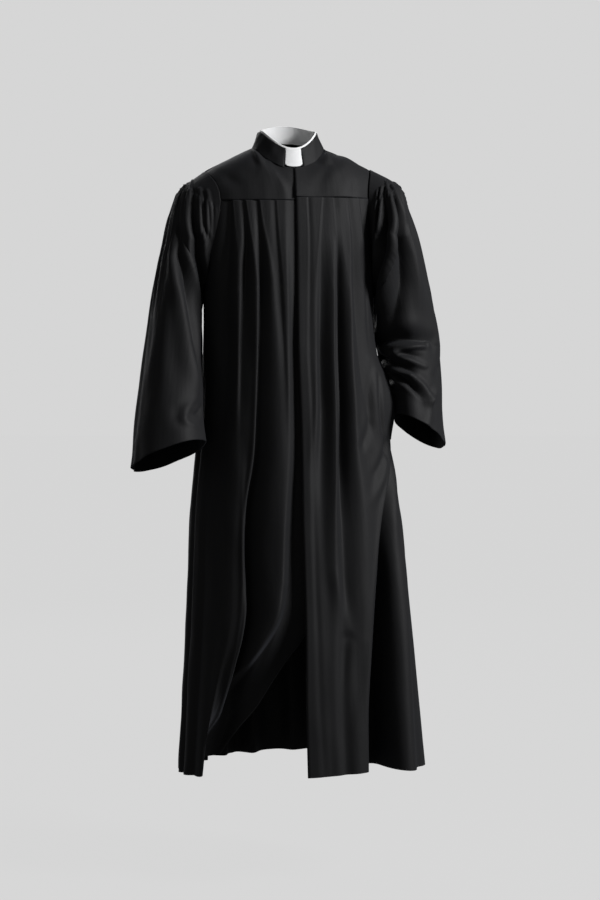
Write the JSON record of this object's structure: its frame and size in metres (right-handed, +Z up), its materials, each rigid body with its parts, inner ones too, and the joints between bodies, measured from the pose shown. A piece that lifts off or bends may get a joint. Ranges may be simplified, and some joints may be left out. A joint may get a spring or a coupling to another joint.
{
  "type": "pulpit robe",
  "caption": "Full-length black clergy robe in its worn form: yoke, pleated fronts and back, gathered bell sleeves, standing collar with a white band and tab, side pocket.",
  "frame": {"origin": "middle of the neck at the height where the collar meets the shoulders, where the wearer holds the robe", "axes": "+Z up, the front faces -Y with the shoulders turned 6.5 degrees towards +X, +X towards the wearer's left"},
  "size_m": [0.6846, 0.4683, 1.4219],
  "materials": {
    "front_right": "black woven cloth",
    "front_left": "black woven cloth",
    "back": "black woven cloth",
    "pocket_welt": "black woven cloth",
    "yoke_front_right": "black woven cloth",
    "yoke_front_left": "black woven cloth",
    "yoke_back": "black woven cloth",
    "sleeve_right": "black woven cloth",
    "sleeve_left": "black woven cloth",
    "collar": "black woven cloth, stiffened",
    "collar_band": "white stiffened cotton",
    "collar_tab": "white stiffened cotton"
  },
  "bodies": {
    "root": {"front_right": "front_right", "front_left": "front_left", "back": "back", "pocket_welt": "pocket_welt", "yoke_front_right": "yoke_front_right", "yoke_front_left": "yoke_front_left", "yoke_back": "yoke_back", "sleeve_right": "sleeve_right", "sleeve_left": "sleeve_left", "collar": "collar", "collar_band": "collar_band", "collar_tab": "collar_tab"}
  },
  "joints": []
}
